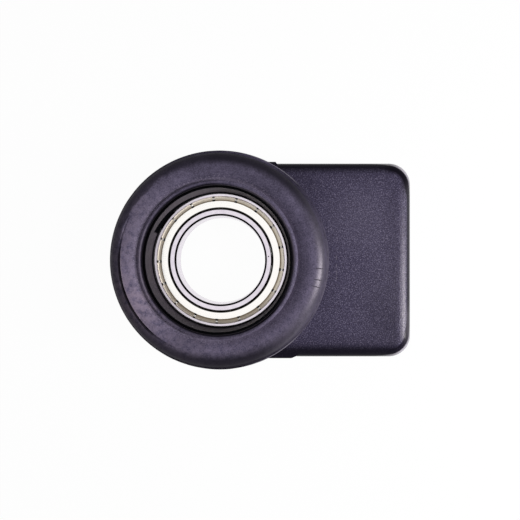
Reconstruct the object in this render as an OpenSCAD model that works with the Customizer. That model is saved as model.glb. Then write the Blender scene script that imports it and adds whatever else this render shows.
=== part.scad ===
// Driveshaft centre bearing: a shielded ball bearing in a steel sleeve, carried by a rolled
// rubber cushion in the eye of a pressed steel bracket. Millimetres.
// The origin is the middle of the bearing. +Z is the shaft axis, out of the front of the cushion,
// and +X runs from the bearing to the bolted end of the bracket.

/* [Bearing] */
// Diameter of the bore that takes the shaft
bore_d = 45; // [43:0.5:47]
// Outside diameter of the bearing
bearing_od = 68; // [66:0.5:71]
// Width of the bearing across its ring faces
bearing_w = 12; // [11:0.5:15]
// Chamfer at the two ends of the bore
bore_chamfer = 0.7; // [0.2:0.1:1]
// Chamfer on the outer corners of the bearing
ring_chamfer = 0.3; // [0.2:0.1:0.4]
// Broken edge between the inner ring's faces and its land
land_chamfer = 0.4; // [0.1:0.05:0.5]
// Height of the raceway shoulders above the bottom of the groove
shoulder_h = 1; // [0.6:0.1:1.4]
// Width of the outer ring's face outside the shield
outer_face_w = 1.6; // [1:0.1:1.7]

/* [Balls and cage] */
// Number of balls
ball_count = 15; // [9:1:15]
// Diameter of each ball
ball_d = 6.7; // [6:0.1:7]
// Raceway groove radius as a share of the ball diameter
groove_share = 0.52; // [0.51:0.005:0.54]
// Running gap between a ball and the bottom of a raceway
race_gap = 0.08; // [0.05:0.01:0.15]
// Gap between a ball and its cage pocket
pocket_gap = 0.12; // [0.08:0.01:0.2]
// Sheet thickness of each half of the cage
cage_t = 0.5; // [0.3:0.05:0.6]
// Radial gap between the cage and the raceway shoulders
cage_gap = 0.25; // [0.2:0.05:1]
// Diameter of the cage rivets
rivet_d = 1; // [0.8:0.1:1.2]
// Diameter of the rivet heads
rivet_head_d = 1.7; // [1.5:0.1:2]
// Height of the rivet heads
rivet_head_h = 0.3; // [0.2:0.05:0.5]
// Gap around a rivet in its hole
rivet_gap = 0.05; // [0.02:0.01:0.1]

/* [Shields] */
// Sheet thickness of the shields
shield_t = 0.5; // [0.3:0.05:0.6]
// Depth of the shield's flat below the ring faces
shield_sink = 0.3; // [0.1:0.05:0.5]
// Depth of the channel round the shield's rim below the ring faces
channel_sink = 1.1; // [0.9:0.05:1.3]
// Gap between the shield and the inner ring
shield_gap = 0.65; // [0.3:0.05:0.8]
// Distance of the step in the shield from the bearing's outside
step_in = 4.15; // [4:0.05:4.3]
// Height of the curled rim above the channel floor
curl_h = 0.5; // [0.2:0.05:0.6]
// How far the rim bites under the lip of the outer ring
rim_bite = 0.25; // [0.1:0.05:0.35]
// Play of the rim in its undercut
rim_play = 0.1; // [0.02:0.01:0.12]
// Number of crimp marks round each shield
crimp_count = 17; // [8:1:24]
// Diameter of the nick at each crimp mark
crimp_d = 0.8; // [0.5:0.1:0.9]
// Radial distance of the nick's middle from the step in the shield
crimp_off = 0.15; // [0.15:0.05:0.25]
// Radius of the raised pip at each crimp mark as a share of the room it has
pip_share = 0.75; // [0.5:0.05:0.8]
// How far the middle of each pip lies below the channel floor
pip_sink = 0.05; // [0.03:0.01:0.05]
// Angle of the first crimp mark
crimp_start = 12; // [0:1:20]

/* [Sleeve and snap rings] */
// Wall thickness of the sleeve
sleeve_t = 1.5; // [1.2:0.1:2.5]
// Reach of the sleeve in front of the middle of the bearing
sleeve_front = 20.9; // [19.5:0.1:23]
// Reach of sleeve, cushion and bracket behind the middle of the bearing
rear_reach = 21.5; // [18:0.5:26]
// Chamfer inside the ends of the sleeve; the front end is bevelled outside over the rest of the wall
sleeve_chamfer = 0.3; // [0.2:0.1:0.6]
// Depth of the snap ring grooves in the sleeve
groove_depth = 0.9; // [0.6:0.1:1]
// Thickness of the snap rings along the axis
snap_t = 2.5; // [1:0.1:3]
// How far the snap rings reach in from the sleeve's bore
snap_reach = 0.6; // [0.45:0.05:1]
// Gap between a snap ring and the sides and floor of its groove
snap_play = 0.05; // [0.02:0.01:0.1]
// Angle left open between the ends of a snap ring
snap_open = 18; // [8:1:40]
// Angle to the middle of the front snap ring's opening
snap_turn = 143; // [0:1:359]

/* [Cushion] */
// Rubber thickness on the sleeve
inner_leg_t = 2.5; // [1.5:0.1:3.5]
// Rubber thickness inside the bracket's collar
outer_leg_t = 2.5; // [1.5:0.1:3.5]
// Height of the rolled front above the middle of the bearing
crest_h = 22; // [20:0.5:26]
// How far the crest lies inside the collar's bore
crest_in = 0.9; // [0:0.1:2]
// Extra radius of the front face beyond its run from the bead to the crest
face_extra = 1; // [0.5:0.1:3]
// Radius of the shoulder from the crest down to the brim
shoulder_r = 6.2; // [5:0.1:6.4]
// Radius of the crease round the crest
crease_r = 0.4; // [0.2:0.05:0.6]
// Rubber thickness between the hollow and the crest
roof_t = 4.5; // [4:0.1:5.5]
// Radius of the bead round the front end of the sleeve
bead_r = 1.1; // [0.6:0.1:1.2]
// Distance of the bead's centre below the sleeve's front end
bead_drop = 1.3; // [1:0.1:1.6]
// How far the brim reaches past the edge of the eye
brim_over = 1.4; // [1:0.1:2]
// Height of the brim at the crease
brim_t = 3.4; // [2.5:0.1:4]
// Height of the brim at its rim
rim_t = 2.4; // [1.5:0.1:2.4]
// Radius on the brim's outer edge
rim_r = 1.2; // [0.5:0.1:1.4]
// How far the rubber stops short of the collar's rear edge
leg_short = 1; // [0:0.5:4]

/* [Bracket] */
// Sheet thickness
sheet_t = 2.5; // [2:0.1:3]
// Height of the web's front face above the middle of the bearing
web_front = 10; // [8:0.5:12]
// Inside diameter of the collar that holds the cushion
eye_d = 93; // [91:0.5:97]
// Outer bend radius where the web rolls into the collar
roll_r = 3.5; // [3.1:0.1:5]
// Flat rim of the eye outside that bend
eye_rim_w = 2.5; // [1:0.1:5]
// Reach of the collar behind the middle of the bearing
collar_rear = 5; // [2:0.5:12]
// Distance from the shaft axis to the bolted end
arm_l = 96.5; // [85:0.5:130]
// Width of the arm over its bent edges
arm_w = 98.8; // [94:0.1:100]
// How far the flat ears beside the eye stop short of that width on each side
ear_in = 0.75; // [0.1:0.05:1]
// Outer bend radius of the arm's edges
bend_r = 7.5; // [5:0.1:8]
// Corner radius of the arm seen from the front
corner_r = 11; // [8.5:0.1:14]
// Where the upper edge starts to be bent back
upper_start = 28.6; // [28:0.1:36]
// Where the lower edge starts to be bent back
lower_start = 38.6; // [30:0.1:45]
// Length of the slanted nick at the end of the upper flat edge
upper_nick_l = 1; // [0.5:0.1:3]
// Length of the slanted nick at the end of the lower flat edge
lower_nick_l = 3.1; // [0.5:0.1:5]
// Depth of those nicks
nick_h = 1.3; // [0.4:0.1:2]
// Radius on the free corners of the bent edges
free_corner_r = 8; // [2:0.5:12]
// Diameter of the bolt holes in the bolted end
bolt_hole_d = 11; // [8:0.5:13]
// Distance between the bolt holes
bolt_pitch = 60; // [40:1:66]
// Distance of the bolt holes behind the web's front face
bolt_drop = 19; // [16:0.5:22]

/* [Hidden] */
$fn = 96;

// Bearing rings
bore_r = bore_d / 2;
bearing_r = bearing_od / 2;
half_w = bearing_w / 2;
pitch_r = (bore_r + bearing_r) / 2;
ball_r = ball_d / 2;
groove_r = groove_share * ball_d;
inner_groove_r = pitch_r - ball_r - race_gap;
outer_groove_r = pitch_r + ball_r + race_gap;
inner_land_r = inner_groove_r + shoulder_h;
outer_land_r = outer_groove_r - shoulder_h;

// Cage
ball_step = 360 / ball_count;
pocket_r = ball_r + pocket_gap;
cup_r = pocket_r + cage_t;
cage_in_r = inner_land_r + cage_gap;
cage_out_r = outer_land_r - cage_gap;

// Shields, measured up from the middle of the bearing
face_z = half_w - shield_sink;
channel_z = half_w - channel_sink;
seat_z = channel_z - shield_t;
shield_in_r = inner_land_r + shield_gap;
step_r = bearing_r - step_in;
mouth_r = bearing_r - outer_face_w;
undercut_r = mouth_r + rim_bite;
rim_out_r = undercut_r - rim_play;
curl_out_r = mouth_r - rim_play;
step_out_r = step_r + shield_t;
crimp_r = step_out_r + crimp_off;
pip_room_in_r = crimp_r + crimp_d / 2;
pip_room_out_r = curl_out_r - shield_t;
pip_ring_r = (pip_room_in_r + pip_room_out_r) / 2;
pip_r = pip_share * min(shield_t, (pip_room_out_r - pip_room_in_r) / 2);

// Sleeve and snap rings
sleeve_out_r = bearing_r + sleeve_t;
snap_in_r = bearing_r - snap_reach;
snap_out_r = bearing_r + groove_depth - snap_play;
base_z = -rear_reach;

// Bracket
eye_r = eye_d / 2;
roll_end_r = eye_r + roll_r;
eye_edge_r = roll_end_r + eye_rim_w;
half_arm = arm_w / 2;
half_ear = half_arm - ear_in;
flat_half = half_arm - bend_r;
corner_x = arm_l - corner_r;
corner_y = half_arm - corner_r;
corner_flat_r = corner_r - bend_r;
wall_drop = web_front + rear_reach;

// Cushion
leg_out_r = sleeve_out_r + inner_leg_t;
hollow_out_r = eye_r - outer_leg_t;
hollow_r = (hollow_out_r - leg_out_r) / 2;
hollow_mid_r = (hollow_out_r + leg_out_r) / 2;
hollow_z = crest_h - roof_t - hollow_r;
crest_r = eye_r - crest_in;
face_run = crest_r - sleeve_out_r - bead_r;
face_r = face_run + face_extra;
face_mid_z = crest_h - face_r;
shoulder_z = crest_h - shoulder_r;
shoulder_out_r = crest_r + shoulder_r;
bead_z = sleeve_front - bead_drop;
brim_r = eye_edge_r + brim_over;
leg_end_z = leg_short - collar_rear;

// Room by which a cut runs past the face it opens
past = 1;

ball_names = [for (i = [1:ball_count]) str("ball_", i < 10 ? "0" : "", i)];

// Bracket: flat web, edges bent back on three sides, and the collar drawn back round the eye

// Flat edge left beside the eye, with the slanted nick where the bend starts
module flat_ear(end_x, nick_l) {
    polygon([
        [0, flat_half],
        [end_x, flat_half],
        [end_x, half_ear - nick_h],
        [end_x - nick_l, half_ear],
        [0, half_ear]
    ]);
}

module web_outline() {
    difference() {
        union() {
            circle(eye_edge_r);
            translate([0, -flat_half])
                square([corner_x, 2 * flat_half]);
            translate([0, -corner_y])
                square([arm_l - bend_r, 2 * corner_y]);
            for (side = [-1, 1])
                translate([corner_x, side * corner_y])
                    circle(corner_flat_r);
            flat_ear(upper_start, upper_nick_l);
            mirror([0, 1])
                flat_ear(lower_start, lower_nick_l);
        }
        circle(roll_end_r);
    }
}

// Section across a bent edge, from the end of the flat outwards, with the web's front face at zero
module bent_edge_section() {
    translate([0, -bend_r])
        intersection() {
            difference() {
                circle(bend_r);
                circle(bend_r - sheet_t);
            }
            square(bend_r);
        }
    translate([bend_r - sheet_t, -wall_drop])
        square([sheet_t, wall_drop - bend_r]);
}

// Long edge from where its bend starts to the corner, with its free lower corner rounded
module side_edge(start_x) {
    difference() {
        translate([start_x, flat_half, web_front])
            rotate([90, 0, 90])
                linear_extrude(corner_x - start_x)
                    bent_edge_section();
        translate([start_x, half_arm + past, base_z])
            rotate([90, 0, 0])
                linear_extrude(bend_r + past)
                    difference() {
                        translate([-past, -past])
                            square(free_corner_r + past);
                        translate([free_corner_r, free_corner_r])
                            circle(free_corner_r);
                    }
    }
}

module bent_corner() {
    translate([corner_x, corner_y, web_front])
        rotate_extrude(angle = 90)
            translate([corner_flat_r, 0])
                bent_edge_section();
}

module end_edge() {
    translate([arm_l - bend_r, corner_y, web_front])
        rotate([90, 0, 0])
            linear_extrude(2 * corner_y)
                bent_edge_section();
}

// Section of the collar and the roll that joins it to the web
module collar_section() {
    translate([eye_r, -collar_rear])
        square([sheet_t, web_front - roll_r + collar_rear]);
    translate([roll_end_r, web_front - roll_r])
        intersection() {
            difference() {
                circle(roll_r);
                circle(roll_r - sheet_t);
            }
            translate([-roll_r, 0])
                square(roll_r);
        }
}

module bracket() {
    color("#3e3c4d")
        difference() {
            union() {
                translate([0, 0, web_front - sheet_t])
                    linear_extrude(sheet_t)
                        web_outline();
                rotate_extrude()
                    collar_section();
                side_edge(upper_start);
                mirror([0, 1, 0])
                    side_edge(lower_start);
                bent_corner();
                mirror([0, 1, 0])
                    bent_corner();
                end_edge();
            }
            for (side = [-1, 1])
                translate([arm_l + past, side * bolt_pitch / 2, web_front - bolt_drop])
                    rotate([0, -90, 0])
                        cylinder(h = bend_r + 2 * past, d = bolt_hole_d);
        }
}

// Cushion: a rolled rubber ring bonded between the sleeve and the collar, hollow from the back

module brim_section() {
    polygon([
        [eye_r, web_front],
        [brim_r, web_front],
        [brim_r, web_front + rim_t - rim_r],
        [brim_r - rim_r, web_front + rim_t],
        [shoulder_out_r, web_front + brim_t],
        [eye_r, web_front + brim_t]
    ]);
    translate([brim_r - rim_r, web_front + rim_t - rim_r])
        circle(rim_r);
}

// Face from the bead up to the crest, and the shoulder from there down to the brim
module rolled_front() {
    translate([crest_r, face_mid_z])
        intersection() {
            circle(face_r);
            translate([-face_run, 0])
                square([face_run, face_r]);
        }
    translate([crest_r, shoulder_z])
        intersection() {
            circle(shoulder_r);
            square(shoulder_r);
        }
    translate([hollow_out_r, web_front])
        square([shoulder_out_r - hollow_out_r, shoulder_z - web_front]);
}

// Legs, bead, rolled front and brim before the hollow and the bracket's metal are taken out
module cushion_blank() {
    translate([sleeve_out_r, base_z])
        square([inner_leg_t, hollow_z - base_z]);
    translate([sleeve_out_r, base_z])
        square([2 * bead_r, bead_z - base_z]);
    translate([sleeve_out_r + bead_r, bead_z])
        circle(bead_r);
    translate([hollow_out_r, leg_end_z])
        square([roll_end_r - hollow_out_r, web_front - leg_end_z]);
    rolled_front();
    brim_section();
}

module cushion_section() {
    difference() {
        cushion_blank();
        // hollow between the legs, open at the back
        translate([leg_out_r, base_z - past])
            square([2 * hollow_r, hollow_z - base_z + past]);
        translate([hollow_mid_r, hollow_z])
            circle(hollow_r);
        translate([crest_r, crest_h])
            circle(crease_r);
        // sleeve
        translate([0, base_z])
            square([sleeve_out_r, crest_h - base_z]);
        // collar and the roll at its front
        translate([eye_r, -collar_rear - past])
            square([roll_r, web_front - roll_r + collar_rear + past]);
        translate([roll_end_r, web_front - roll_r])
            circle(roll_r);
    }
}

module cushion() {
    color("#47424f")
        rotate_extrude()
            cushion_section();
}

// Sleeve and snap rings

module bearing_sleeve() {
    color("#6b666c")
        rotate_extrude()
            difference() {
                polygon([
                    [bearing_r + sleeve_chamfer, base_z],
                    [sleeve_out_r, base_z],
                    [sleeve_out_r, sleeve_front - sleeve_t + sleeve_chamfer],
                    [bearing_r + sleeve_chamfer, sleeve_front],
                    [bearing_r, sleeve_front - sleeve_chamfer],
                    [bearing_r, base_z + sleeve_chamfer]
                ]);
                for (side = [0, 1])
                    mirror([0, side])
                        translate([bearing_r - past, half_w])
                            square([groove_depth + past, snap_t + 2 * snap_play]);
            }
}

module snap_ring() {
    rotate([0, 0, snap_turn + snap_open / 2])
        rotate_extrude(angle = 360 - snap_open)
            translate([snap_in_r, half_w + snap_play])
                square([snap_out_r - snap_in_r, snap_t]);
}

module front_snap_ring() {
    color("#17161a")
        snap_ring();
}

module rear_snap_ring() {
    color("#17161a")
        mirror([0, 0, 1])
            snap_ring();
}

// Bearing rings

module outer_ring() {
    color("#dcd4dc")
        rotate_extrude()
            difference() {
                polygon([
                    [outer_land_r, -half_w],
                    [bearing_r - ring_chamfer, -half_w],
                    [bearing_r, ring_chamfer - half_w],
                    [bearing_r, half_w - ring_chamfer],
                    [bearing_r - ring_chamfer, half_w],
                    [outer_land_r, half_w]
                ]);
                translate([outer_groove_r - groove_r, 0])
                    circle(groove_r);
                // seats for the shields and the undercuts that their rims bite into
                for (side = [0, 1])
                    mirror([0, side]) {
                        translate([outer_land_r - past, seat_z])
                            square([mouth_r - outer_land_r + past, half_w - seat_z + past]);
                        translate([outer_land_r - past, seat_z])
                            square([undercut_r - outer_land_r + past, shield_t + rim_play]);
                    }
            }
}

module inner_ring() {
    color("#dcd4dc")
        rotate_extrude()
            difference() {
                polygon([
                    [bore_r + bore_chamfer, -half_w],
                    [inner_land_r - land_chamfer, -half_w],
                    [inner_land_r, land_chamfer - half_w],
                    [inner_land_r, half_w - land_chamfer],
                    [inner_land_r - land_chamfer, half_w],
                    [bore_r + bore_chamfer, half_w],
                    [bore_r, half_w - bore_chamfer],
                    [bore_r, bore_chamfer - half_w]
                ]);
                translate([inner_groove_r + groove_r, 0])
                    circle(groove_r);
            }
}

// Shields: a flat beside the inner ring, a step, and a channel whose rim curls up in the outer ring

module shield_section() {
    translate([shield_in_r, face_z - shield_t])
        square([step_out_r - shield_in_r, shield_t]);
    translate([step_r, seat_z])
        square([shield_t, face_z - seat_z]);
    translate([step_r, seat_z])
        square([rim_out_r - step_r, shield_t]);
    translate([curl_out_r - shield_t, seat_z])
        square([shield_t, shield_t + curl_h - shield_t / 2]);
    translate([curl_out_r - shield_t / 2, channel_z + curl_h - shield_t / 2])
        circle(shield_t / 2);
}

module shield() {
    difference() {
        union() {
            rotate_extrude()
                shield_section();
            for (i = [0:crimp_count - 1])
                rotate([0, 0, crimp_start + i * 360 / crimp_count])
                    translate([pip_ring_r, 0, channel_z - pip_sink])
                        sphere(pip_r);
        }
        for (i = [0:crimp_count - 1])
            rotate([0, 0, crimp_start + i * 360 / crimp_count])
                translate([crimp_r, 0, seat_z - past])
                    cylinder(h = half_w, d = crimp_d);
    }
}

module front_shield() {
    color("#e9e2d4")
        shield();
}

module rear_shield() {
    color("#e9e2d4")
        mirror([0, 0, 1])
            shield();
}

// Cage: two pressed halves with round pockets, riveted together between the balls

module cage_band(height) {
    linear_extrude(height)
        difference() {
            circle(cage_out_r);
            circle(cage_in_r);
        }
}

module at_each_ball() {
    for (i = [0:ball_count - 1])
        rotate([0, 0, i * ball_step])
            translate([pitch_r, 0, 0])
                children();
}

module at_each_rivet() {
    for (i = [0:ball_count - 1])
        rotate([0, 0, (i + 0.5) * ball_step])
            translate([pitch_r, 0, 0])
                children();
}

module cage_half() {
    difference() {
        intersection() {
            union() {
                cage_band(cage_t);
                at_each_ball()
                    sphere(cup_r);
            }
            cage_band(cup_r + past);
        }
        at_each_ball()
            sphere(pocket_r);
        at_each_rivet()
            translate([0, 0, -past])
                cylinder(h = cage_t + 2 * past, d = rivet_d + 2 * rivet_gap);
    }
}

module cage_front() {
    color("#b9b3a6")
        cage_half();
}

module cage_rear() {
    color("#b9b3a6")
        mirror([0, 0, 1])
            cage_half();
}

module cage_rivets() {
    color("#c9c4bb")
        at_each_rivet() {
            cylinder(h = 2 * cage_t, d = rivet_d, center = true);
            for (side = [0, 1])
                mirror([0, 0, side])
                    translate([0, 0, cage_t])
                        cylinder(h = rivet_head_h, d = rivet_head_d);
        }
}

module ball(i) {
    color("#e6e6ea")
        rotate([0, 0, i * ball_step])
            translate([pitch_r, 0, 0])
                sphere(ball_r);
}

bracket();
cushion();
bearing_sleeve();
front_snap_ring();
rear_snap_ring();
outer_ring();
inner_ring();
front_shield();
rear_shield();
cage_front();
cage_rear();
cage_rivets();
for (i = [0:ball_count - 1])
    ball(i);
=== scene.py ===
import math

import bpy
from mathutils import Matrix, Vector, noise


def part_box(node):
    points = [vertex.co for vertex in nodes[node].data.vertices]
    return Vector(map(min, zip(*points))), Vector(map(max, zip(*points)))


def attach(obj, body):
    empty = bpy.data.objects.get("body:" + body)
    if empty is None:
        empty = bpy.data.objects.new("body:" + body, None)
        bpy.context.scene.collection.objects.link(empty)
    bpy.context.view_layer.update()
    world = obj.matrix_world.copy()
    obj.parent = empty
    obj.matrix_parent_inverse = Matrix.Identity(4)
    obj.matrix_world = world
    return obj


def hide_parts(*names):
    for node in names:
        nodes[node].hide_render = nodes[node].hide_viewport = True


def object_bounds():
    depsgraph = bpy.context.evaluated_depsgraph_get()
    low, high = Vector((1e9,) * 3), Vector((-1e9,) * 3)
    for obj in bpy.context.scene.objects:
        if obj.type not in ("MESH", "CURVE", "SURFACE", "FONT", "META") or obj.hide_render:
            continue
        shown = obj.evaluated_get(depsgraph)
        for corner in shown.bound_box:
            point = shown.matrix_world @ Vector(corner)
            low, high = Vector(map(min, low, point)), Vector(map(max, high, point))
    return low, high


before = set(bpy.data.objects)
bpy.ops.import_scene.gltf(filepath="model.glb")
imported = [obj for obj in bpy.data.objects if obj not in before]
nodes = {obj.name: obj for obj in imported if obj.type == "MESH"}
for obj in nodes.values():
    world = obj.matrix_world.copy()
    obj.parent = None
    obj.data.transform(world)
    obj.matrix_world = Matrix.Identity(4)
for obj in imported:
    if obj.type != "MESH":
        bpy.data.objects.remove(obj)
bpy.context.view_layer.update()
mm = 0.001
far = 200          # open end of a span, past every side of the part
crestR = 45.6      # crest of the rolled rubber, for its mesh and its finish
print("frame loaded:", len(nodes), "pieces")


# Small helpers for node materials

def newMaterial(name):
    material = bpy.data.materials.new(name)
    material.use_nodes = True
    return material, material.node_tree, material.node_tree.nodes["Principled BSDF"]


def addNode(tree, kind, **values):
    node = tree.nodes.new(kind)
    for key, value in values.items():
        if key in node.inputs:
            node.inputs[key].default_value = value
        else:
            setattr(node, key, value)
    return node


def mathNode(tree, operation, first, second=None):
    node = addNode(tree, "ShaderNodeMath", operation=operation)
    for socket, value in zip(node.inputs, (first, second)):
        if value is None:
            continue
        if isinstance(value, (int, float)):
            socket.default_value = value
        else:
            tree.links.new(value, socket)
    return node.outputs[0]


def chain(tree, operation, values):
    result = values[0]
    for value in values[1:]:
        result = mathNode(tree, operation, result, value)
    return result


def add(tree, *values):
    return chain(tree, "ADD", values)


def times(tree, *values):
    return chain(tree, "MULTIPLY", values)


def most(tree, *values):
    return chain(tree, "MAXIMUM", values)


def minus(tree, first, second):
    return mathNode(tree, "SUBTRACT", first, second)


def outside(tree, share):
    # 1 where the share is 0
    return minus(tree, 1.0, share)


def rampNode(tree, source, stops):
    node = addNode(tree, "ShaderNodeValToRGB")
    ramp = node.color_ramp
    while len(ramp.elements) < len(stops):
        ramp.elements.new(0.5)
    for element, (place, colour) in zip(ramp.elements, stops):
        element.position = place
        element.color = colour if len(colour) == 4 else (*colour, 1)
    tree.links.new(source, node.inputs["Fac"])
    return node.outputs["Color"]


def grey(level):
    return (level, level, level, 1)


def greyRamp(tree, source, stops):
    return rampNode(tree, source, [(place, grey(level)) for place, level in stops])


def blend(tree, share, first, second):
    # first and second are colours or colour sockets
    node = addNode(tree, "ShaderNodeMix", data_type="RGBA")
    tree.links.new(share, node.inputs[0])
    for socket, value in ((node.inputs[6], first), (node.inputs[7], second)):
        if isinstance(value, tuple):
            socket.default_value = value if len(value) == 4 else (*value, 1)
        else:
            tree.links.new(value, socket)
    return node.outputs[2]


def radiusRamp(tree, radius, stops, reach):
    # stops are (radius, colour), and lie between the two radii of reach
    inside, wide = reach[0], reach[1] - reach[0]
    share = mathNode(tree, "DIVIDE", minus(tree, radius, inside), wide)
    return rampNode(tree, share, [((place - inside) / wide, colour) for place, colour in stops])


def ownPlace(tree):
    return addNode(tree, "ShaderNodeTexCoord").outputs["Object"]


def along(tree, place, axis):
    # one coordinate in millimetres
    parts = addNode(tree, "ShaderNodeSeparateXYZ")
    tree.links.new(place, parts.inputs[0])
    return times(tree, parts.outputs[axis], 1 / mm)


def radiusFromAxis(tree, place):
    # distance from the shaft axis in millimetres
    flat = addNode(tree, "ShaderNodeVectorMath", operation="MULTIPLY")
    flat.inputs[1].default_value = (1 / mm, 1 / mm, 0)
    tree.links.new(place, flat.inputs[0])
    length = addNode(tree, "ShaderNodeVectorMath", operation="LENGTH")
    tree.links.new(flat.outputs[0], length.inputs[0])
    return length.outputs["Value"]


def angleRound(tree, place):
    # angle about the shaft axis in degrees, from -180 to 180
    parts = addNode(tree, "ShaderNodeSeparateXYZ")
    tree.links.new(place, parts.inputs[0])
    turn = mathNode(tree, "ARCTAN2", parts.outputs["Y"], parts.outputs["X"])
    return times(tree, turn, 180 / math.pi)


def distance(tree, across, upward):
    squares = add(tree, times(tree, across, across), times(tree, upward, upward))
    return mathNode(tree, "SQRT", squares)


def fromPoint(tree, across, upward, point):
    return distance(tree, minus(tree, across, point[0]), minus(tree, upward, point[1]))


def within(tree, value, low, high, soft):
    # 1 between low and high, with a smooth step of soft to each side of both
    middle, half = (low + high) / 2, (high - low) / 2
    away = mathNode(tree, "ABSOLUTE", minus(tree, value, middle))
    node = addNode(tree, "ShaderNodeMapRange", interpolation_type="SMOOTHSTEP")
    node.inputs["From Min"].default_value = half + soft
    node.inputs["From Max"].default_value = half - soft
    tree.links.new(away, node.inputs["Value"])
    return node.outputs["Result"]


def fade(tree, away, wide):
    # 1 at no distance, falling to 0 at wide
    return within(tree, away, -far, wide / 2, wide / 2)


def patch(tree, spot, coords, *shares):
    # a spot has spans (low, high, soft) along some of the coordinates, and may have a strength
    spans = [within(tree, coords[name], *spot[name]) for name in coords if name in spot]
    strength = [spot["strength"]] if "strength" in spot else []
    return times(tree, *spans, *shares, *strength)


def paint(tree, colour, spot, coords, *shares):
    return blend(tree, patch(tree, spot, coords, *shares), colour, spot["tone"])


def noiseNode(tree, place, size, detail=3.0, rough=0.55):
    # size is the width of one grain in millimetres
    node = addNode(tree, "ShaderNodeTexNoise", Scale=1 / (size * mm), Detail=detail, Roughness=rough)
    tree.links.new(place, node.inputs["Vector"])
    return node.outputs["Fac"]


def grainLayers(tree, place, grains):
    # grains are name: (width in millimetres, detail, roughness, share of the mix)
    layers = {name: noiseNode(tree, place, *grain[:3]) for name, grain in grains.items()}
    mixed = add(tree, *(times(tree, layers[name], grain[3]) for name, grain in grains.items()))
    return layers, mixed


def bumpInto(tree, shader, heights):
    # heights is a list of (socket, strength, depth in millimetres), coarse first
    normal = None
    for height, strength, depth in heights:
        bump = addNode(tree, "ShaderNodeBump", Strength=strength, Distance=depth * mm)
        tree.links.new(height, bump.inputs["Height"])
        if normal is not None:
            tree.links.new(normal, bump.inputs["Normal"])
        normal = bump.outputs["Normal"]
    tree.links.new(normal, shader.inputs["Normal"])


def dress(node, material):
    mesh = nodes[node].data
    mesh.materials.clear()
    mesh.materials.append(material)


# Finishes, with lengths in millimetres and angles in degrees

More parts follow.
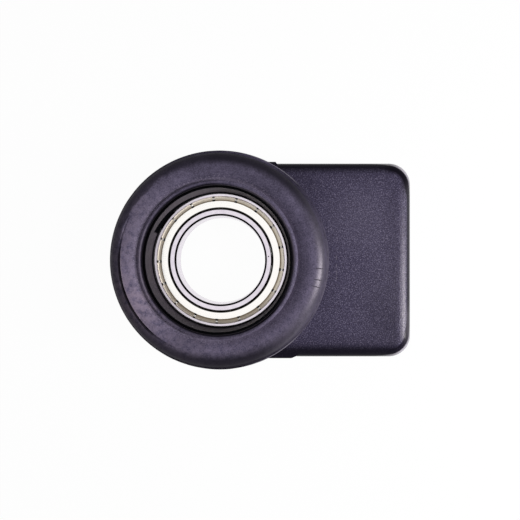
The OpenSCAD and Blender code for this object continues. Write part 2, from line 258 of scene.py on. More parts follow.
def powderCoat():
    look = {
        "grains": {"pebble": (0.55, 1.0, 0.55, 0.6), "grit": (0.32, 0.0, 0.55, 0.4)},
        "tones": ((0.36, (0.016, 0.011, 0.030)), (0.53, (0.039, 0.033, 0.073)),
                  (0.68, (0.175, 0.152, 0.23))),
        "corner": (85.5, 38.4, 11.0),                 # middle and radius of the arm's round corner
        "cornerAt": (92.6, 45.5), "cornerWide": 17,   # what is different at a corner fades out over this
        "flatIn": (3.4, far, 0.5), "cornerBend": 3.0,     # the flat starts further in at a corner
        "flatY": (-42.9, 44.5, 2.2),
        "rimIn": (-far, 0.7, 0.35), "cornerRim": 2.3, "rimPlain": 0.25,
        "bendEnd": (-far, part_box("bracket")[1].z / mm - 7.0, 1.2),
        "paintedShade": (                                    # painted shade toward the bends and the rubber
            {"upward": (42, far, 10), "strength": 0.40},
            {"upward": (-far, -40, 10), "strength": 0.55},
            {"across": (-50, 50, 12), "upward": (26, far, 14), "strength": 0.42},
            {"across": (-50, 58, 6), "strength": 0.12},
            {"across": (74, far, 16), "upward": (-far, -12, 18), "strength": 0.42}),
        "paintedShadeFar": (                                 # beside the far bend, more so in the lower half
            {"across": (83, far, 5), "strength": 0.2},
            {"across": (83, far, 5), "upward": (-far, -12, 18), "strength": 0.2}),
        "shadeEnd": (-far, 88.2, 1.5),                # the far bend itself stays as it is
        "upperCorner": {"inset": (-far, 6.5, 2.0), "upward": (20, far, 10), "strength": 1.6},
        "shadeTone": (0.008, 0.006, 0.013),
        "paleAt": (69, 22), "paleWide": 26,
        "paintedLight": {"strength": 0.12, "tone": (0.19, 0.17, 0.235)},
        "bend": {"strength": 0.85, "tone": (0.006, 0.005, 0.009)},
        "rim": {"strength": 0.9, "tone": (0.36, 0.33, 0.39)},
        "bendHighlight": {"across": (90, 97, 1.2), "upward": (-38, -24, 4), "strength": 0.12,
                 "tone": (0.30, 0.27, 0.30)},
        "dashes": {"across": (57.6, 58.0, 0.15), "upward": (-11.6, 4.7, 1.5), "strength": 0.6,
                   "tone": (0.16, 0.14, 0.19)},
        "dashGrain": (2.4, 0.0), "dashCut": (0.5, 0.9, 0.08),
        "gloss": ((0.35, 0.22), (0.65, 0.46)), "bendGloss": 0.2,
        "shine": 0.2, "shadeDull": 0.16, "rimShine": 0.5, "leastShine": 0.02,
        "farBend": {"across": (90.6, 94, 1.8), "upward": (-41, 37, 4), "strength": 0.16},
        "tint": (1.0, 0.93, 0.98, 1),
        "bump": {"pebble": (0.6, 0.12), "grit": (0.5, 0.06)},
    }
    material, tree, shader = newMaterial("powderCoat")
    place = ownPlace(tree)
    across, upward = along(tree, place, "X"), along(tree, place, "Y")
    layers, mixed = grainLayers(tree, place, look["grains"])
    colour = rampNode(tree, mixed, look["tones"])
    # distance in from the arm's outline, round its corners too
    cornerX, cornerY, cornerR = look["corner"]
    eitherSide = mathNode(tree, "ABSOLUTE", upward)
    pastX = most(tree, minus(tree, across, cornerX), 0.0)
    pastY = most(tree, minus(tree, eitherSide, cornerY), 0.0)
    inset = minus(tree, cornerR, distance(tree, pastX, pastY))
    coords = {"across": across, "upward": upward, "inset": inset}
    # 1 in the middle of a corner, falling smoothly to both sides
    cornered = fade(tree, fromPoint(tree, across, eitherSide, look["cornerAt"]), look["cornerWide"])
    # the flat is pebbled, the bent edges are smooth and painted dark as shade, the far rim shines
    inFromBend = minus(tree, inset, times(tree, cornered, look["cornerBend"]))
    flat = times(tree, within(tree, inFromBend, *look["flatIn"]), within(tree, upward, *look["flatY"]))
    inFromRim = minus(tree, inset, times(tree, cornered, look["cornerRim"]))
    rim = times(tree, within(tree, inFromRim, *look["rimIn"]), add(tree, cornered, look["rimPlain"]))
    # below the bends the walls are pebbled again
    below = within(tree, along(tree, place, "Z"), *look["bendEnd"])
    onFront = outside(tree, below)
    flat = most(tree, flat, below)
    rim = times(tree, rim, onFront)
    bent = outside(tree, flat)
    # painted light above the middle, and painted shade, deeper, toward the bends and the rubber
    paintedLight = fade(tree, fromPoint(tree, across, upward, look["paleAt"]), look["paleWide"])
    paintedShadeFar = add(tree, *(patch(tree, spot, coords) for spot in look["paintedShadeFar"]))
    paintedShade = most(tree, paintedShadeFar, *(patch(tree, spot, coords) for spot in look["paintedShade"]))
    paintedShade = times(tree, paintedShade, within(tree, across, *look["shadeEnd"]))
    upperCorner = patch(tree, look["upperCorner"], coords, cornered)
    paintedShade = times(tree, most(tree, paintedShade, mathNode(tree, "MINIMUM", upperCorner, 1.0)), onFront)
    colour = blend(tree, paintedShade, colour, look["shadeTone"])
    colour = paint(tree, colour, look["paintedLight"], coords, paintedLight, onFront)
    colour = paint(tree, colour, look["bend"], coords, bent)
    # painted reflection: the rim is paler at the corners
    colour = paint(tree, colour, look["rim"], coords, rim, cornered)
    # painted highlight on the lower end of the far bend, and faint rubbed dashes beside the rubber
    colour = paint(tree, colour, look["bendHighlight"], coords, onFront)
    dashes = within(tree, noiseNode(tree, place, *look["dashGrain"]), *look["dashCut"])
    colour = paint(tree, colour, look["dashes"], coords, dashes)
    tree.links.new(colour, shader.inputs["Base Color"])
    gloss = greyRamp(tree, layers["grit"], look["gloss"])
    gloss = blend(tree, bent, gloss, grey(look["bendGloss"]))
    tree.links.new(gloss, shader.inputs["Roughness"])
    polish = minus(tree, look["shine"], times(tree, paintedShade, look["shadeDull"]))
    farBend = patch(tree, look["farBend"], coords, onFront)
    shine = add(tree, times(tree, flat, polish), times(tree, rim, look["rimShine"]))
    shine = add(tree, shine, farBend, look["leastShine"])
    shader.inputs["Specular IOR Level"].default_value = look["shine"]      # plain value under the link
    tree.links.new(shine, shader.inputs["Specular IOR Level"])
    shader.inputs["Specular Tint"].default_value = look["tint"]
    bumpInto(tree, shader, [(times(tree, layers[name], flat), *bump) for name, bump in look["bump"].items()])
    return material


def mouldedRubber():
    paintedLight, paintedHighlight = (0.31, 0.245, 0.315), (0.24, 0.205, 0.26)
    look = {
        "grains": {"speck": (0.6, 2.0, 0.55, 0.50), "bloom": (9, 5.0, 0.6, 0.25),
                   "mottle": (2.6, 3.0, 0.55, 0.25)},
        "tones": ((0.38, (0.062, 0.053, 0.091)), (0.64, (0.188, 0.161, 0.258))),
        "lowerLeft": (-0.9, -0.35),                   # share of leftward and of upward
        "ragged": 5.0, "crispR": (crestR + 0.2, far, 0.9), "atLeft": (-far, -0.62, 0.3),
        "spread": 2.0, "softR": (crestR + 0.8, far, 3.2),
        "litTurn": (-49, 22, 25), "litShare": 0.3, "brimR": (50.6, far, 0.8),
        "brimLit": ({"angle": (-50, 46, 30), "strength": 0.34}, {"angle": (60, 122, 15), "strength": 0.7}),
        "footR": (-far, 36.3, 0.6), "footShade": 0.97,
        "unshadedFoot": {"angle": (-28, 82, 18), "strength": 0.9},
        "shoulderShade": 0.93, "leftPaler": 0.22,
        "thin": (0.20, 0.12, 0.19),                   # painted shade: share of upward, of leftward and plain
        "lessShadeRight": {"angle": (6, 48, 15), "strength": 0.16},
        # painted shade inside the face near the bead, toward the bottom, and by the sleeve on the lower side
        "paintedShade": (
            {"radius": (-far, 38.5, 2.0), "strength": 0.22},
            {"angle": (-124, -100, 14), "strength": 0.36},
            {"radius": (-far, 37.2, 0.5), "angle": (-135, -45, 15), "strength": 0.55}),
        "black": (0.008, 0.007, 0.011),
        "lightCut": (0.46, far, 0.16), "lightBase": 0.35,
        "moreLight": {"angle": (-166, -140, 14), "strength": 0.4},
        "lightAndShadeMarks": (
            # open crease at the lower left, painted black as shade, with a painted highlight on its inner
            # edge
            {"radius": (44.6, 45.1, 0.15), "lowerLeft": (0.86, far, 0.06), "speck": (0.42, far, 0.1),
             "strength": 0.5, "tone": paintedLight},
            {"radius": (45.4, 46.3, 0.15), "lowerLeft": (0.86, far, 0.06), "strength": 0.85,
             "tone": (0.004, 0.0035, 0.005)},
            # bead beside the sleeve, with painted highlights at the left and at the right
            {"radius": (36.3, 36.8, 0.25), "leftward": (-far, -0.72, 0.05), "strength": 0.7,
             "tone": paintedHighlight},
            {"radius": (35.3, 36.2, 0.25), "angle": (-8, 66, 14), "strength": 0.6, "tone": paintedHighlight},
            # painted light in the valley beside the bead, lifting its shade, and small pale specks, partly
            # scuffs and partly painted glints
            {"radius": (37.7, 38.9, 0.4), "strength": 0.35, "tone": (0.25, 0.215, 0.30)},
            {"radius": (37.2, 40.0, 1.0), "speck": (0.60, far, 0.06), "strength": 0.45,
             "tone": (0.30, 0.26, 0.34)},
            # painted highlight on the edge of the brim where it leaves the bracket
            {"radius": (53.25, far, 0.12), "eitherTurn": (46, 74, 6), "strength": 0.6,
             "tone": (0.26, 0.24, 0.29)}),
        "cross": {"turns": (-4.8, -11.2, -15.2), "half": 0.25, "soft": 0.2, "radius": (45.9, 49.8, 0.4),
                  "strength": 0.75, "tone": (0.006, 0.005, 0.008)},
        "gloss": ((0.3, 0.50), (0.7, 0.62)), "shoulderGloss": 0.34,
        "dullGloss": 0.85, "dullShare": 0.8, "litDull": 0.15,
        "shine": 0.20, "litShine": 0.45, "shoulderShine": 0.13, "dullShine": 0.17, "leastShine": 0.01,
        "plainShine": 0.15,                           # plain value under the link
        "tint": (1.0, 0.90, 1.0, 1),
        "bump": {"bloom": (0.2, 0.2), "mottle": (0.22, 0.12), "speck": (0.35, 0.05)},
    }
    material, tree, shader = newMaterial("mouldedRubber")
    place = ownPlace(tree)
    radius, angle = radiusFromAxis(tree, place), angleRound(tree, place)
    layers, mixed = grainLayers(tree, place, look["grains"])
    colour = rampNode(tree, mixed, look["tones"])
    # upward is 1 at the top of the crest, leftward is -1 at its left and 0 on the right half
    upward = mathNode(tree, "DIVIDE", along(tree, place, "Y"), crestR)
    leftward = mathNode(tree, "MINIMUM", mathNode(tree, "DIVIDE", along(tree, place, "X"), crestR), 0.0)
    leftShare, upShare = look["lowerLeft"]
    lowerLeft = add(tree, times(tree, leftward, leftShare), times(tree, upward, upShare))
    lowerLeft = most(tree, lowerLeft, 0.0)
    coords = {"radius": radius, "angle": angle, "eitherTurn": mathNode(tree, "ABSOLUTE", angle),
              "leftward": leftward, "lowerLeft": lowerLeft, "speck": layers["speck"]}
    # the shoulder starts outside the face, with a ragged edge at the left and a soft one elsewhere
    ragged = add(tree, radius, times(tree, minus(tree, layers["bloom"], 0.5), look["ragged"]))
    crisp = within(tree, ragged, *look["crispR"])
    spread = add(tree, radius, times(tree, upward, upward, look["spread"]))
    soft = within(tree, spread, *look["softR"])
    atLeft = within(tree, leftward, *look["atLeft"])
    shoulder = add(tree, times(tree, crisp, atLeft), times(tree, soft, outside(tree, atLeft)))
    # painted shade: the shoulder and the foot at the sleeve are painted near black, less so toward the
    # bracket and where the lamp falls
    lit = within(tree, angle, *look["litTurn"])
    brim = within(tree, radius, *look["brimR"])
    brimLit = add(tree, *(patch(tree, spot, coords) for spot in look["brimLit"]))
    litHere = add(tree, times(tree, brim, brimLit), times(tree, outside(tree, brim), lit, look["litShare"]))
    paler = minus(tree, litHere, times(tree, leftward, look["leftPaler"]))
    shadedShoulder = times(tree, shoulder, minus(tree, look["shoulderShade"], paler))
    unshadedFoot = patch(tree, look["unshadedFoot"], coords)
    foot = times(tree, within(tree, radius, *look["footR"]), outside(tree, unshadedFoot))
    upShare, leftShare, plainShare = look["thin"]
    thin = add(tree, times(tree, upward, upShare), times(tree, leftward, leftShare), plainShare)
    thin = minus(tree, thin, patch(tree, look["lessShadeRight"], coords))
    paintedShade = most(tree, shadedShoulder, times(tree, foot, look["footShade"]), thin)
    paintedShade = most(tree, paintedShade, *(patch(tree, spot, coords) for spot in look["paintedShade"]))
    # painted light at the lower left, pinker than the rubber
    thick = add(tree, patch(tree, look["moreLight"], coords), look["lightBase"])
    litLowerLeft = times(tree, lowerLeft, within(tree, layers["mottle"], *look["lightCut"]), thick)
    colour = blend(tree, litLowerLeft, colour, paintedLight)
    colour = blend(tree, paintedShade, colour, look["black"])
    for spot in look["lightAndShadeMarks"]:
        colour = paint(tree, colour, spot, coords)
    # three small cross marks on the shoulder, painted dark as the shade of small creases that break its
    # highlight
    cross = look["cross"]
    marks = [within(tree, angle, turn - cross["half"], turn + cross["half"], cross["soft"])
             for turn in cross["turns"]]
    crossed = patch(tree, cross, coords, most(tree, *marks))
    colour = blend(tree, crossed, colour, cross["tone"])
    tree.links.new(colour, shader.inputs["Base Color"])
    dull = most(tree, foot, times(tree, brim, outside(tree, times(tree, lit, look["litDull"]))))
    gloss = greyRamp(tree, layers["bloom"], look["gloss"])
    gloss = blend(tree, shoulder, gloss, grey(look["shoulderGloss"]))
    matt = most(tree, crossed, times(tree, dull, look["dullShare"]))
    gloss = blend(tree, matt, gloss, grey(look["dullGloss"]))
    tree.links.new(gloss, shader.inputs["Roughness"])
    litShine = minus(tree, times(tree, lit, look["litShine"]), look["shoulderShine"])
    shine = add(tree, look["shine"], times(tree, shoulder, litShine))
    shine = minus(tree, shine, times(tree, dull, look["dullShine"]))
    shader.inputs["Specular IOR Level"].default_value = look["plainShine"]
    shader.inputs["Specular Tint"].default_value = look["tint"]
    tree.links.new(most(tree, shine, look["leastShine"]), shader.inputs["Specular IOR Level"])
    bumpInto(tree, shader, [(layers[name], *bump) for name, bump in look["bump"].items()])
    return material


def phosphateSteel():
    look = {
        "tones": ((0.3, (0.034, 0.028, 0.037)), (0.7, (0.074, 0.062, 0.078))), "grain": (0.8, 4.0),
        "wallR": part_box("outer_ring")[1].x / mm,
        "upper": {"strength": 0.9, "tone": (0.135, 0.118, 0.140)},
        "darkPatch": {"angle": (104, 157, 0.5), "depth": (0, 20, 0.35)}, "darkPatchTop": (8.4, 15.0),
        "darkEndZ": (19.9, far, 0.25), "black": (0.003, 0.003, 0.004),
        "gloss": ((0.3, 0.38), (0.7, 0.52)), "shine": 0.03, "bump": (0.2, 0.05),
    }
    material, tree, shader = newMaterial("phosphateSteel")
    place = ownPlace(tree)
    grain = noiseNode(tree, place, *look["grain"])
    colour = rampNode(tree, grain, look["tones"])
    height, angle = along(tree, place, "Z"), angleRound(tree, place)
    # painted light: the upper side is paler
    upward = most(tree, mathNode(tree, "DIVIDE", along(tree, place, "Y"), look["wallR"]), 0.0)
    colour = paint(tree, colour, look["upper"], {}, upward, upward)
    # a dark patch that climbs from the snap ring's opening, and the front end black
    first, last = look["darkPatch"]["angle"][:2]
    low, high = look["darkPatchTop"]
    climb = (high - low) / (last - first)
    top = add(tree, times(tree, minus(tree, angle, first), climb), low)
    darkPatch = patch(tree, look["darkPatch"], {"angle": angle, "depth": minus(tree, top, height)})
    dark = most(tree, darkPatch, within(tree, height, *look["darkEndZ"]))
    colour = blend(tree, dark, colour, look["black"])
    tree.links.new(colour, shader.inputs["Base Color"])
    shader.inputs["Specular IOR Level"].default_value = look["shine"]      # plain value under the link
    tree.links.new(times(tree, outside(tree, dark), look["shine"]), shader.inputs["Specular IOR Level"])
    tree.links.new(greyRamp(tree, grain, look["gloss"]), shader.inputs["Roughness"])
    bumpInto(tree, shader, [(grain, *look["bump"])])
    return material


def shadedBlackOxide():
    # near black: black oxide, painted darker still as the shade at the bottom of the sleeve's recess
    look = {
        "tones": ((0.35, (0.002, 0.002, 0.0025)), (0.7, (0.006, 0.0055, 0.007))), "grain": (0.9, 3.0),
        "gloss": ((0.3, 0.5), (0.7, 0.65)), "shine": 0.02, "bump": (0.15, 0.03),
    }
    material, tree, shader = newMaterial("shadedBlackOxide")
    grain = noiseNode(tree, ownPlace(tree), *look["grain"])
    tree.links.new(rampNode(tree, grain, look["tones"]), shader.inputs["Base Color"])
    shader.inputs["Specular IOR Level"].default_value = look["shine"]
    tree.links.new(greyRamp(tree, grain, look["gloss"]), shader.inputs["Roughness"])
    bumpInto(tree, shader, [(grain, *look["bump"])])
    return material


# Bearing steels: each has its own tones and gloss, and is painted near black with grease and shade where its
# spans say
turned = {
    "inner": {"name": "groundSteel", "dark": (0.68, 0.625, 0.70), "light": (0.86, 0.80, 0.87),
              "gloss": ((0.3, 0.16), (0.7, 0.26)), "metal": 1.0, "lineWidth": 0.12, "pitAt": (24.2, 1.77),
              "greaseAndShade": ({"fromPit": (-far, 0.3, 0.12)},       # one small dark spot
                       {"radius": (25.5, 27.0, 0.05)},       # painted shade with grease where the balls run, and painted shade at the bore's ends
                       {"radius": (22.0, 23.4, 0.04), "fromMiddle": (5.25, 7.0, 0.03)})},
    "outer": {"name": "lappedSteel", "dark": (0.82, 0.76, 0.84), "light": (0.97, 0.91, 0.985),
              "gloss": ((0.3, 0.36), (0.7, 0.46)), "metal": 1.0, "lineWidth": 0.12,
              "dish": 0.19,                      # slope of the lapped face, which rises slightly outward
              "shadeLeft": {"across": (-far, -14, 16), "strength": 0.36, "tone": (0.12, 0.10, 0.12)},
              "greaseAndShade": ({"fromMiddle": (-5.0, 5.0, 0.05)},    # painted shade with grease where the balls run, and a dark patch at the ring's opening
                       {"radius": (33.25, 35.0, 0.05), "angle": (133, 153, 0.5)})},
    # cage and balls are dark with grease, and painted darker still as the shade inside the bearing
    "cage": {"name": "greasedShadedCage", "dark": (0.06, 0.055, 0.045), "light": (0.16, 0.15, 0.13),
             "gloss": ((0.3, 0.35), (0.7, 0.5)), "metal": 0.8, "lineWidth": 0.3},
    "ball": {"name": "greasedShadedBall", "dark": (0.10, 0.095, 0.09), "light": (0.22, 0.21, 0.20),
             "gloss": ((0.3, 0.18), (0.7, 0.3)), "metal": 0.9, "lineWidth": 0.6},
}
turnedAlike = {"cloud": 3, "detail": 4.0, "stops": (0.35, 0.65), "greasyShade": (0.004, 0.0035, 0.0035),
               "greaseGloss": 0.7, "bump": (0.12, 0.01)}


def turnedSteel(look):
    # fine turning or grinding lines run round the shaft axis
    material, tree, shader = newMaterial(look["name"])
    place = ownPlace(tree)
    radius, across = radiusFromAxis(tree, place), along(tree, place, "X")
    coords = {"radius": radius, "across": across, "angle": angleRound(tree, place),
              "fromMiddle": mathNode(tree, "ABSOLUTE", along(tree, place, "Z"))}
    lines = addNode(tree, "ShaderNodeTexNoise", noise_dimensions="1D", Scale=1 / look["lineWidth"],
                    Detail=turnedAlike["detail"])
    tree.links.new(radius, lines.inputs["W"])
    cloud = noiseNode(tree, place, turnedAlike["cloud"])
    mixed = times(tree, add(tree, lines.outputs["Fac"], cloud), 0.5)
    darkAt, lightAt = turnedAlike["stops"]
    colour = rampNode(tree, mixed, [(darkAt, look["dark"]), (lightAt, look["light"])])
    gloss = greyRamp(tree, mixed, look["gloss"])
    if "shadeLeft" in look:           # painted shade: the face is darker on the side away from the bracket
        colour = paint(tree, colour, look["shadeLeft"], coords)
    if "pitAt" in look:
        coords["fromPit"] = fromPoint(tree, across, along(tree, place, "Y"), look["pitAt"])
    # grease and painted shade, near black
    if "greaseAndShade" in look:
        greaseAndShade = most(tree, *(patch(tree, film, coords) for film in look["greaseAndShade"]))
        colour = blend(tree, greaseAndShade, colour, turnedAlike["greasyShade"])
        gloss = blend(tree, greaseAndShade, gloss, grey(turnedAlike["greaseGloss"]))
    tree.links.new(colour, shader.inputs["Base Color"])
    tree.links.new(gloss, shader.inputs["Roughness"])
    shader.inputs["Metallic"].default_value = look["metal"]
    heights = [(lines.outputs["Fac"], *turnedAlike["bump"])]
    if "dish" in look:               # a height in millimetres, so at full strength and one millimetre deep
        heights.insert(0, (times(tree, radius, look["dish"]), 1.0, 1.0))
    bumpInto(tree, shader, heights)
    return material


def platedShield():
    look = {
        "cloud": (2.2, 4.0), "ragged": 0.21,
        "flat": ((0.35, (0.985, 0.96, 0.925)), (0.7, (1.0, 0.98, 0.95))),
        "reach": (26.0, 33.0),                       # radii that the tones below lie between
        "flatEnd": ((29.866, grey(0)), (30.034, grey(1))),
        # the step and the channel are the same plated metal as the flat, painted darker and browner as their
        # shade and reflections
        "outer": ((30.33, (0.17, 0.125, 0.075)),     # step
                  (30.61, (0.54, 0.46, 0.35)),       # channel
                  (31.35, (0.86, 0.78, 0.66)),
                  (31.91, (0.84, 0.79, 0.72))),      # rim
        "dull": {"angle": (-150, -38, 18), "strength": 0.5, "tone": (0.20, 0.15, 0.10)},
        "greasyShade": {"radius": (-far, 26.75, 0.1), "tone": (0.015, 0.012, 0.010)},
        "markCount": 17, "markStart": 12.0,
        "marks": (                                   # a bright pip, a painted highlight, between two dark dots
            {"radius": (30.95, 31.7, 0.06), "aside": (-1.0, 1.0, 0.15), "tone": (0.98, 0.96, 0.93)},
            {"radius": (29.85, 30.9, 0.06), "aside": (-1.3, 1.3, 0.15), "tone": (0.010, 0.008, 0.006)},
            {"radius": (31.8, 32.45, 0.06), "aside": (-1.1, 1.1, 0.15), "tone": (0.012, 0.009, 0.007)}),
        "gloss": ((0.3, 0.11), (0.7, 0.18)), "channelGloss": 0.40,
        "rimGloss": 0.75, "rimR": (31.7, far, 0.1),
        "bump": (0.04, 0.03),
    }
    material, tree, shader = newMaterial("platedShield")
    place = ownPlace(tree)
    radius, angle = radiusFromAxis(tree, place), angleRound(tree, place)
    cloud = noiseNode(tree, place, *look["cloud"])
    pastFlat = radiusRamp(tree, radius, look["flatEnd"], look["reach"])
    ragged = add(tree, radius, times(tree, minus(tree, cloud, 0.5), look["ragged"]))
    outer = radiusRamp(tree, ragged, look["outer"], look["reach"])
    colour = blend(tree, pastFlat, rampNode(tree, cloud, look["flat"]), outer)
    # angle to the side of the nearest crimp mark
    step = 360 / look["markCount"]
    turn = mathNode(tree, "DIVIDE", minus(tree, angle, look["markStart"]), step)
    aside = minus(tree, mathNode(tree, "FRACT", add(tree, turn, 0.5)), 0.5)
    coords = {"radius": radius, "angle": angle, "aside": times(tree, aside, step)}
    # painted shade: the channel is darker on the lower side, and the inner edge is dark with grease and
    # painted shade
    colour = paint(tree, colour, look["dull"], coords, pastFlat)
    for spot in (look["greasyShade"], *look["marks"]):
        colour = paint(tree, colour, spot, coords)
    tree.links.new(colour, shader.inputs["Base Color"])
    shader.inputs["Metallic"].default_value = 1.0
    gloss = greyRamp(tree, cloud, look["gloss"])
    gloss = blend(tree, pastFlat, gloss, grey(look["channelGloss"]))
    gloss = blend(tree, within(tree, radius, *look["rimR"]), gloss, grey(look["rimGloss"]))
    tree.links.new(gloss, shader.inputs["Roughness"])
    bumpInto(tree, shader, [(cloud, *look["bump"])])
    return material


finishes = {kind: turnedSteel(look) for kind, look in turned.items()}
finishes.update({
    "powderCoat": powderCoat(),
    "rubber": mouldedRubber(),
    "phosphate": phosphateSteel(),
    "oxide": shadedBlackOxide(),
    "shield": platedShield(),
})
wearsFinish = {
    "powderCoat": ["bracket"],
    "rubber": ["cushion"],
    "phosphate": ["bearing_sleeve"],
    "oxide": ["front_snap_ring", "rear_snap_ring"],
    "outer": ["outer_ring"],
    "inner": ["inner_ring"],
    "shield": ["front_shield", "rear_shield"],
    "cage": ["cage_front", "cage_rear", "cage_rivets"],
    "ball": [n for n in nodes if n.startswith("ball_")],
}
for finish, names in wearsFinish.items():
    for name in names:
        dress(name, finishes[finish])
print("finishes on", sum(len(v) for v in wearsFinish.values()), "pieces")


# Rubber cushion, turned from its section, in millimetres

cushion = {
    "sleeveR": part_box("bearing_sleeve")[1].x / mm,   # rubber is bonded to the outside of the sleeve
    "brimR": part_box("cushion")[1].x / mm,
    "crest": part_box("cushion")[1].z / mm,
    "base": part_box("cushion")[0].z / mm,
    "sleeveFront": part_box("bearing_sleeve")[1].z / mm,
    "webFront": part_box("bracket")[1].z / mm,
    "legIn": 2.5,         # rubber on the sleeve
    "legOut": 2.5,        # rubber inside the collar
    "eyeR": 46.5,         # collar bore
    "rollR": 3.5,         # bend between web and collar
    "legEnd": -4.0,
    "faceR": 10.0,        # face between bead and crest
    "shoulderR": 6.2,     # shoulder outside the crest
    "creaseW": 0.5,       # half width of the crease round the crest
    "creaseDeep": 1.1,
    "creaseForm": ((-0.7, 0.55), (-0.3, 0.95), (0.0, 1.0), (0.3, 0.9), (0.7, 0.55)),    # shares of both
    "roof": 4.5,
    "beadR": 1.1,
    "beadDrop": 1.3,
    "grooveW": 0.45,      # narrow groove between bead and face
    "grooveTop": (0.02, 0.5),                        # out from the bead's side, down from its middle
    "grooveFloor": ((0.08, 0.12), (0.22, -0.06)),    # out from the bead's side, up from the face's start
    "brimHigh": 3.4,
    "rimHigh": 2.4,
    "rimR": 1.2,
    "rimEdge": ((0.0, 0.7), (-0.03, 0.36), (-0.02, 0.2)),    # out from the rim, up from the web
    "rimFoot": 0.05,      # the rim stands in by this on the web
    "round": 0.6,         # fillet on the brim, and the ends of the outer leg
    "baseRound": 0.5,
    "clear": {"wall": 0.8, "rim": 0.3, "roll": 0.5, "roof": 1.0},    # straight stretches keep off their arcs
    "skin": 0.02,         # keeps bonded faces just off the metal
    "turns": 288,
    "sharp": 50,          # edges over this angle look sharp
    "flash": 0.4,         # moulding flash on the brim, bracket side only
    "flashHigh": (0.1, 0.3), "flashOut": 1.0,        # heights above the web, and out from the wall
    "flashFrom": 0.80,    # cosine of the angle from the arm where the flash starts
    "flashWave": (16.0, 0.8, 0.5),                   # noise scale, its share and the plain share
    "brimWaves": ((2.3, 0.10), (9.0, 0.04)),         # noise scale and height
    "brimLift": 0.4, "brimOut": 0.3,                 # share of a wave that goes up, and out from the wall
    "lump": (3.0, 0.12, 0.07),                       # noise scale round and outward, and height
    "lumpHigh": 4.0, "lumpOut": 2.2,                 # above the web, and out from the sleeve
    "creaseShare": 0.9, "creaseTop": 1.5,            # part of the crease that may close
    "openToward": (-0.94, -0.34, 0),                 # the crease is open on this side
    "openFrom": 0.86, "closesOver": 0.2,             # in cosines of the angle from that side
    "openWave": (5.0, 0.10),                         # noise scale, and share in cosines
}


def arc(centre, radius, start, end, count):
    points = []
    for i in range(count + 1):
        angle = math.radians(start + (end - start) * i / count)
        points.append((centre[0] + radius * math.cos(angle), centre[1] + radius * math.sin(angle)))
    return points


def line(first, last, count):
    return [(first[0] + (last[0] - first[0]) * i / count, first[1] + (last[1] - first[1]) * i / count)
            for i in range(count)]


def cushionSection(c):
    inR = c["sleeveR"] + c["skin"]
    outR = c["eyeR"] - c["skin"]
    legR = c["sleeveR"] + c["legIn"]
    hollowOut = c["eyeR"] - c["legOut"]
    hollowR = (hollowOut - legR) / 2
    hollowMid = (hollowOut + legR) / 2
    hollowZ = c["crest"] - c["roof"] - hollowR
    face = (crestR, c["crest"] - c["faceR"])
    shoulder = (crestR, c["crest"] - c["shoulderR"])
    wallR = crestR + c["shoulderR"]
    bead = (inR + c["beadR"], c["sleeveFront"] - c["beadDrop"])
    valleyR = bead[0] + c["beadR"]
    web = c["webFront"]
    under = web + c["skin"]
    roll = (c["eyeR"] + c["rollR"], web - c["rollR"])
    brim = web + c["brimHigh"]
    fillet, clear = c["round"], c["clear"]
    legRound = c["legEnd"] + fillet
    baseRound = c["base"] + c["baseRound"]
    faceStart = math.degrees(math.acos((valleyR + c["grooveW"] - face[0]) / c["faceR"]))
    valley = face[1] + c["faceR"] * math.sin(math.radians(faceStart))
    lip = math.degrees(math.asin(c["creaseW"] / c["faceR"]))
    fall = math.degrees(math.asin(c["creaseW"] / c["shoulderR"]))
    # up the sleeve, over the bead, down its groove and up the face to the crease
    points = line((inR, c["base"]), (inR, bead[1]), 24)
    points += arc(bead, c["beadR"], 180, 5, 16)
    points += [(valleyR + c["grooveTop"][0], bead[1] - c["grooveTop"][1])]
    points += [(valleyR + out, valley + up) for out, up in c["grooveFloor"]]
    points += arc(face, c["faceR"], faceStart, 90 + lip, 56)
    points += [(crestR + c["creaseW"] * side, c["crest"] - c["creaseDeep"] * deep)
               for side, deep in c["creaseForm"]]
    # down the shoulder, out along the brim and back under it
    points += arc(shoulder, c["shoulderR"], 90 - fall, 4, 48)
    points += line((wallR, shoulder[1]), (wallR, brim + clear["wall"]), 6)
    points += arc((wallR + fillet, brim + fillet), fillet, 180, 262, 7)
    points += arc((c["brimR"] - c["rimR"], web + c["rimHigh"] - c["rimR"]), c["rimR"], 90, 8, 10)
    points += [(c["brimR"] + out, web + up) for out, up in c["rimEdge"]]
    points += [(c["brimR"] - c["rimFoot"], under)]
    points += line((c["brimR"] - clear["rim"], under), (roll[0], under), 4)
    # round the collar's roll, down the outer leg, through the hollow and down the inner leg
    points += arc(roll, c["rollR"] + c["skin"], 90, 180, 12)
    points += line((outR, roll[1] - clear["roll"]), (outR, legRound), 10)
    points += arc((outR - fillet, legRound), fillet, 0, -90, 5)
    points += arc((hollowOut + fillet, legRound), fillet, -90, -180, 5)
    points += line((hollowOut, legRound + fillet), (hollowOut, hollowZ), 12)
    points += arc((hollowMid, hollowZ), hollowR, 0, 180, 24)
    points += line((legR, hollowZ - clear["roof"]), (legR, baseRound), 20)
    points += arc((legR - c["baseRound"], baseRound), c["baseRound"], 0, -90, 5)
    return points


def turnedMesh(name, section, turns, sharp, shift):
    # shift(radius, z, angle) gives the small moves that keep the ring from looking machined
    verts, faces = [], []
    count = len(section)
    for t in range(turns):
        angle = 2 * math.pi * t / turns
        for radius, z in section:
            dr, dz = shift(radius, z, angle)
            reach = (radius + dr) * mm
            verts.append((reach * math.cos(angle), reach * math.sin(angle), (z + dz) * mm))
    for t in range(turns):
        a, b = t * count, ((t + 1) % turns) * count
        for i in range(count):
            j = (i + 1) % count
            faces.append((a + i, b + i, b + j, a + j))
    mesh = bpy.data.meshes.new(name)
    mesh.from_pydata(verts, [], faces)
    mesh.validate()
    mesh.shade_smooth()
    mesh.set_sharp_from_angle(angle=math.radians(sharp))
    piece = bpy.data.objects.new(name, mesh)
    bpy.context.scene.collection.objects.link(piece)
    return piece


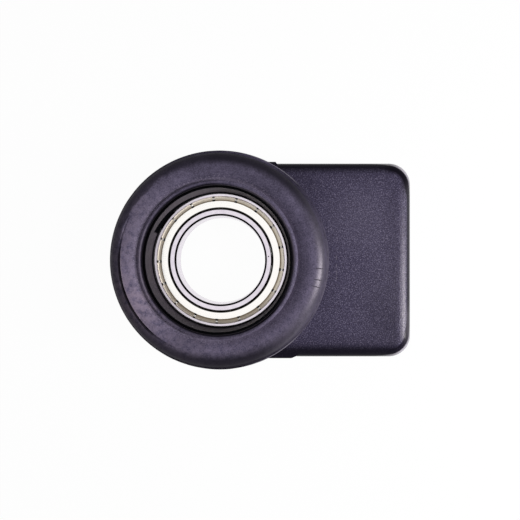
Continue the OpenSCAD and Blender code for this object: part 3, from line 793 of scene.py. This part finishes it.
def cushionShift(radius, z, angle):
    c = cushion
    around = Vector((math.cos(angle), math.sin(angle), 0))
    above = z - c["webFront"]
    wallR = crestR + c["shoulderR"]
    flashLow, flashTop = c["flashHigh"]
    if flashLow < above < flashTop and radius > wallR + c["flashOut"]:    # thin flash on the web
        share = max(0.0, around.x - c["flashFrom"]) / (1 - c["flashFrom"])
        scale, waved, plain = c["flashWave"]
        return c["flash"] * share * (plain + waved * noise.noise(around * scale)), 0
    if above > flashTop and radius > wallR + c["brimOut"]:                # brim
        wave = sum(noise.noise(around * scale) * height for scale, height in c["brimWaves"])
        share = min(1.0, (radius - wallR) / (c["brimR"] - wallR))
        return -abs(wave) * share, wave * c["brimLift"] * share
    if above > c["lumpHigh"] and radius > c["sleeveR"] + c["lumpOut"]:    # rolled front
        scale, outward, height = c["lump"]
        lump = noise.noise(around * scale + Vector((0, 0, radius * outward))) * height - height
        inCrease = abs(radius - crestR) < c["creaseW"] * c["creaseShare"]
        if inCrease and z > c["crest"] - c["creaseTop"]:
            # the crease is open at the left and lower left and closed elsewhere
            towardLeft = around.dot(Vector(c["openToward"]))
            scale, height = c["openWave"]
            closed = (c["openFrom"] - towardLeft + height * noise.noise(around * scale)) / c["closesOver"]
            lump += (c["crest"] - z) * min(1.0, max(0.0, closed))
        return 0, lump
    return 0, 0


section = cushionSection(cushion)
rubberRing = turnedMesh("rubberRing", section, cushion["turns"], cushion["sharp"], cushionShift)
rubberRing.data.materials.append(finishes["rubber"])
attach(rubberRing, "housing")
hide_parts("cushion")
print("rubber ring:", len(rubberRing.data.polygons), "faces")


# Studio: floor, world and soft lights, in metres

studio = {
    "floorSize": 40.0,
    "floorGlow": 0.97,
    "floorTone": 0.3,     # for light that bounces onto the object
    "floorRough": 0.9,
    "fill": 0.06,
    "overhead": {"place": (0.0, 0.0, 0.62), "size": (0.62, 0.52), "radiance": 1.02, "mirrored": False},
    "right": {"place": (0.412, -0.06, 0.286), "size": (0.12, 0.32), "radiance": 18.8, "mirrored": True},
}


def seenDirectly(tree):
    # 1 for rays that show the ground or the sky, 0 for rays that light the object
    path = addNode(tree, "ShaderNodeLightPath")
    rays = ("Is Camera Ray", "Is Glossy Ray", "Is Transmission Ray")
    return most(tree, *(path.outputs[ray] for ray in rays))


def floorMaterial():
    material, tree, shader = newMaterial("paleFloor")
    shader.inputs["Base Color"].default_value = grey(studio["floorTone"])
    shader.inputs["Roughness"].default_value = studio["floorRough"]
    shade = addNode(tree, "ShaderNodeBsdfDiffuse", Color=grey(1.0 - studio["floorGlow"]))
    glow = addNode(tree, "ShaderNodeEmission", Color=grey(1.0), Strength=studio["floorGlow"])
    white = addNode(tree, "ShaderNodeAddShader")
    tree.links.new(shade.outputs[0], white.inputs[0])
    tree.links.new(glow.outputs[0], white.inputs[1])
    mix = addNode(tree, "ShaderNodeMixShader")
    tree.links.new(seenDirectly(tree), mix.inputs[0])
    tree.links.new(shader.outputs[0], mix.inputs[1])
    tree.links.new(white.outputs[0], mix.inputs[2])
    tree.links.new(mix.outputs[0], tree.nodes["Material Output"].inputs["Surface"])
    return material


def buildFloor():
    half = studio["floorSize"] / 2
    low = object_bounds()[0].z
    corners = [(-half, -half, low), (half, -half, low), (half, half, low), (-half, half, low)]
    mesh = bpy.data.meshes.new("floor")
    mesh.from_pydata(corners, [], [(0, 1, 2, 3)])
    floor = bpy.data.objects.new("floor", mesh)
    bpy.context.scene.collection.objects.link(floor)
    mesh.materials.append(floorMaterial())


def softLight(name, spec):
    width, height = spec["size"]
    lamp = bpy.data.lights.new(name, "AREA")
    lamp.shape = "RECTANGLE"
    lamp.size, lamp.size_y = width, height
    lamp.energy = spec["radiance"] * math.pi * width * height
    light = bpy.data.objects.new(name, lamp)
    light.location = spec["place"]
    light.rotation_euler = (-Vector(spec["place"])).to_track_quat("-Z", "Y").to_euler()
    light.visible_glossy = spec["mirrored"]
    bpy.context.scene.collection.objects.link(light)


def buildWorld():
    world = bpy.data.worlds.new("studio")
    bpy.context.scene.world = world
    world.use_nodes = True
    tree = world.node_tree
    background = tree.nodes["Background"]
    background.inputs["Color"].default_value = grey(1.0)
    level = add(tree, times(tree, seenDirectly(tree), 1.0 - studio["fill"]), studio["fill"])
    tree.links.new(level, background.inputs["Strength"])


buildFloor()
buildWorld()
for side in ("overhead", "right"):
    softLight(side + "Light", studio[side])
print("studio lit")


# Camera looks straight down along the shaft, from a place a little toward the bracket, in millimetres

viewer = {"place": (19.9, 0.0, 201.0), "focalPixels": 385.5, "imagePixels": 520, "sensor": 36.0,
          "nearest": 5.0}

camera = bpy.data.cameras.new("viewer")
camera.sensor_width = viewer["sensor"]
camera.lens = viewer["focalPixels"] / viewer["imagePixels"] * viewer["sensor"]
camera.clip_start = viewer["nearest"] * mm
viewerObject = bpy.data.objects.new("viewer", camera)
viewerObject.location = Vector(viewer["place"]) * mm
bpy.context.scene.collection.objects.link(viewerObject)
bpy.context.scene.camera = viewerObject
bpy.context.scene.view_settings.view_transform = "Standard"
